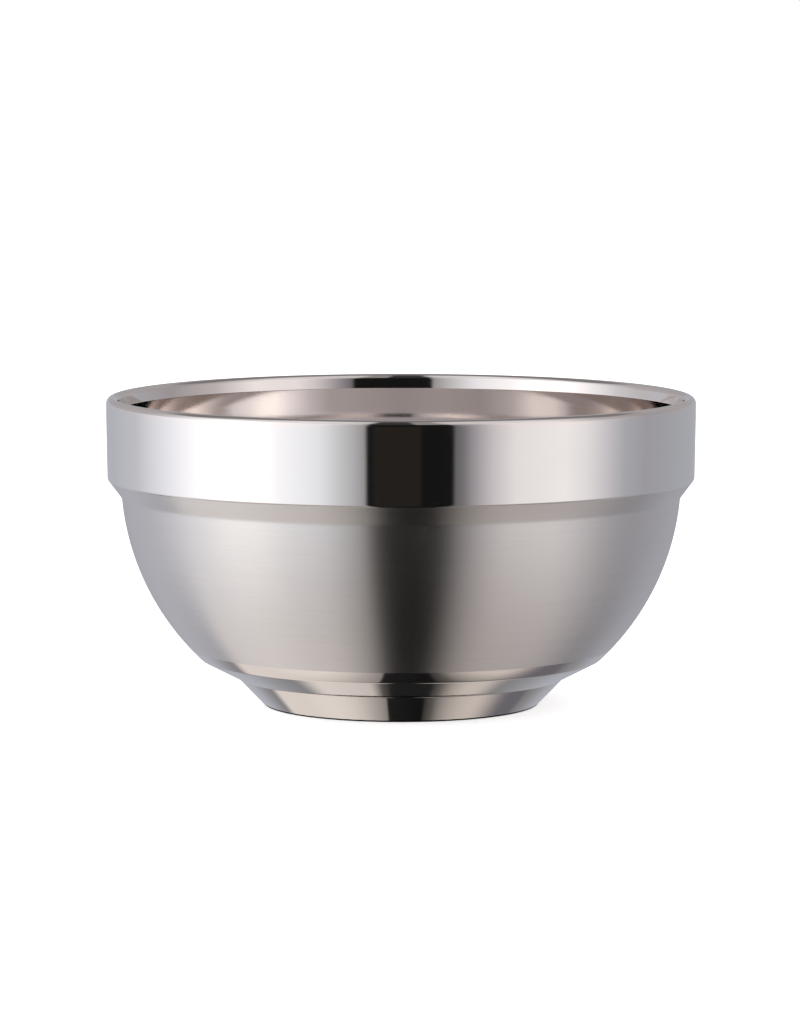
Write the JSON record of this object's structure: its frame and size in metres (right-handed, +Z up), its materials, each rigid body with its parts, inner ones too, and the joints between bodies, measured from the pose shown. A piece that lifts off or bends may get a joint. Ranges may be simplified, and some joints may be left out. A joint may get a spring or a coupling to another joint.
{
  "type": "shaving bowl",
  "caption": "Round double-walled steel bowl for shaving lather, with a rolled lip, an upright polished band above a satin belly, and a coved foot.",
  "frame": {"origin": "on the ground at the middle of the foot", "axes": "+Z up along the bowl's axis, out of its mouth; X and Y level, and alike"},
  "size_m": [0.115, 0.115, 0.0605],
  "materials": {
    "polished_liner": "mirror-polished stainless steel",
    "satin_shell": "stainless steel, mirror-polished on the band and foot, satin with fine lines around the belly",
    "turned_base": "stainless steel with turned rings",
    "weld_metal": "ground stainless weld metal"
  },
  "bodies": {
    "root": {"inner_bowl": "polished_liner", "outer_shell": "satin_shell", "base_disc": "turned_base", "rim_weld": "weld_metal", "base_weld": "weld_metal", "vent_seal": "weld_metal"}
  },
  "joints": []
}
